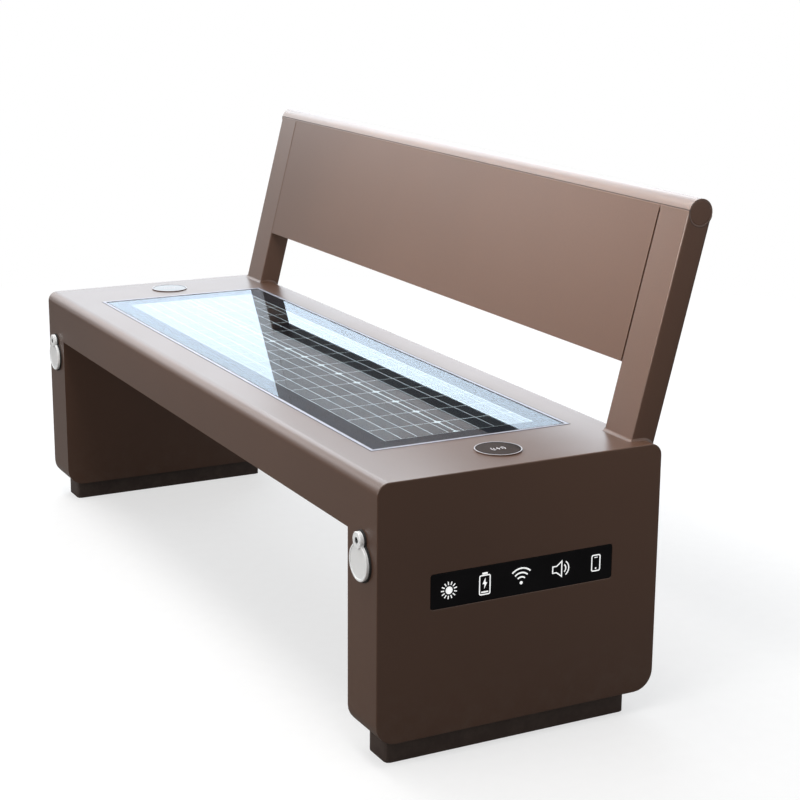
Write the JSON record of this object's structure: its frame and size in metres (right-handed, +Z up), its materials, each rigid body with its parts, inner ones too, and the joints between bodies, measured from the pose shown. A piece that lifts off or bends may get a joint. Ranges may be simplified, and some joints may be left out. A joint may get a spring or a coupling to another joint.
{
  "type": "solar charging bench",
  "caption": "Folded steel street bench on two box pedestals with a leaning backrest, a solar panel in the seat, charging pads, covered sockets and a status display.",
  "frame": {"origin": "on the ground under the middle of the overall bounding box", "axes": "+X along the bench to the end with the display, +Y from the front to the backrest, +Z up"},
  "size_m": [1.6, 0.6104, 0.8369],
  "materials": {
    "paint": "semi-gloss bronze-brown powder coat with a fine orange-peel",
    "dark_paint": "matt dark brown powder coat",
    "plain_steel": "zinc-plated steel",
    "glass": "tempered clear glass with a strong reflection",
    "cells": "dark solar cells with pale grid lines on a black border",
    "silver_trim": "satin anodised aluminium",
    "black_plastic": "moulded black plastic",
    "black_glass": "gloss black acrylic with pale signs",
    "white_plastic": "gloss white moulded plastic",
    "rubber": "black rubber",
    "board": "green circuit board",
    "battery_case": "blue shrink-wrapped battery case",
    "grey_plastic": "grey moulded plastic"
  },
  "bodies": {
    "bench": {"seat_beam_shell": "paint", "soffit_cover": "paint", "pedestal_wrap_left": "paint", "pedestal_inner_plate_left": "paint", "end_plate_left": "paint", "plinth_left": "dark_paint", "service_cover_left": "paint", "speaker_left": "black_plastic", "pedestal_wrap_right": "paint", "pedestal_inner_plate_right": "paint", "end_plate_right": "paint", "plinth_right": "dark_paint", "service_cover_right": "paint", "speaker_right": "black_plastic", "cross_channel_left": "plain_steel", "cross_channel_centre": "plain_steel", "cross_channel_right": "plain_steel", "panel_tray": "plain_steel", "panel_seal": "rubber", "panel_cell_sheet": "cells", "panel_glass": "glass", "panel_trim_frame": "silver_trim", "panel_junction_box": "black_plastic", "charge_pad_left": "black_plastic", "charge_pad_ring_left": "silver_trim", "charge_pad_nut_left": "black_plastic", "socket_base_plate_left": "rubber", "charging_socket_left": "black_plastic", "socket_lock_nut_left": "black_plastic", "socket_pivot_screw_left": "plain_steel", "charge_pad_right": "black_plastic", "charge_pad_ring_right": "silver_trim", "charge_pad_nut_right": "black_plastic", "socket_base_plate_right": "rubber", "charging_socket_right": "black_plastic", "socket_lock_nut_right": "black_plastic", "socket_pivot_screw_right": "plain_steel", "display_window": "black_glass", "display_board": "board", "backrest_rail": "paint", "backrest_panel": "paint", "backrest_post_left": "paint", "rail_cap_left": "paint", "backrest_post_right": "paint", "rail_cap_right": "paint", "post_bracket_left": "plain_steel", "post_bolt_left_1": "plain_steel", "post_bolt_left_2": "plain_steel", "post_bracket_right": "plain_steel", "post_bolt_right_1": "plain_steel", "post_bolt_right_2": "plain_steel", "battery_pack": "battery_case", "battery_strap": "plain_steel", "charge_controller": "plain_steel", "audio_module": "grey_plastic", "network_module": "grey_plastic", "panel_lead": "rubber", "battery_lead": "rubber"},
    "left_cover": {"socket_cover_left": "white_plastic"},
    "right_cover": {"socket_cover_right": "white_plastic"}
  },
  "joints": [
    {"name": "left_cover_swing", "type": "hinge", "parent": "bench", "child": "left_cover", "pos_m": [-0.75075, -0.3, 0.3575], "axis": [0, -1, 0], "range_deg": [-120, 120]},
    {"name": "right_cover_swing", "type": "hinge", "parent": "bench", "child": "right_cover", "pos_m": [0.75075, -0.3, 0.3575], "axis": [0, -1, 0], "range_deg": [-120, 120]}
  ]
}
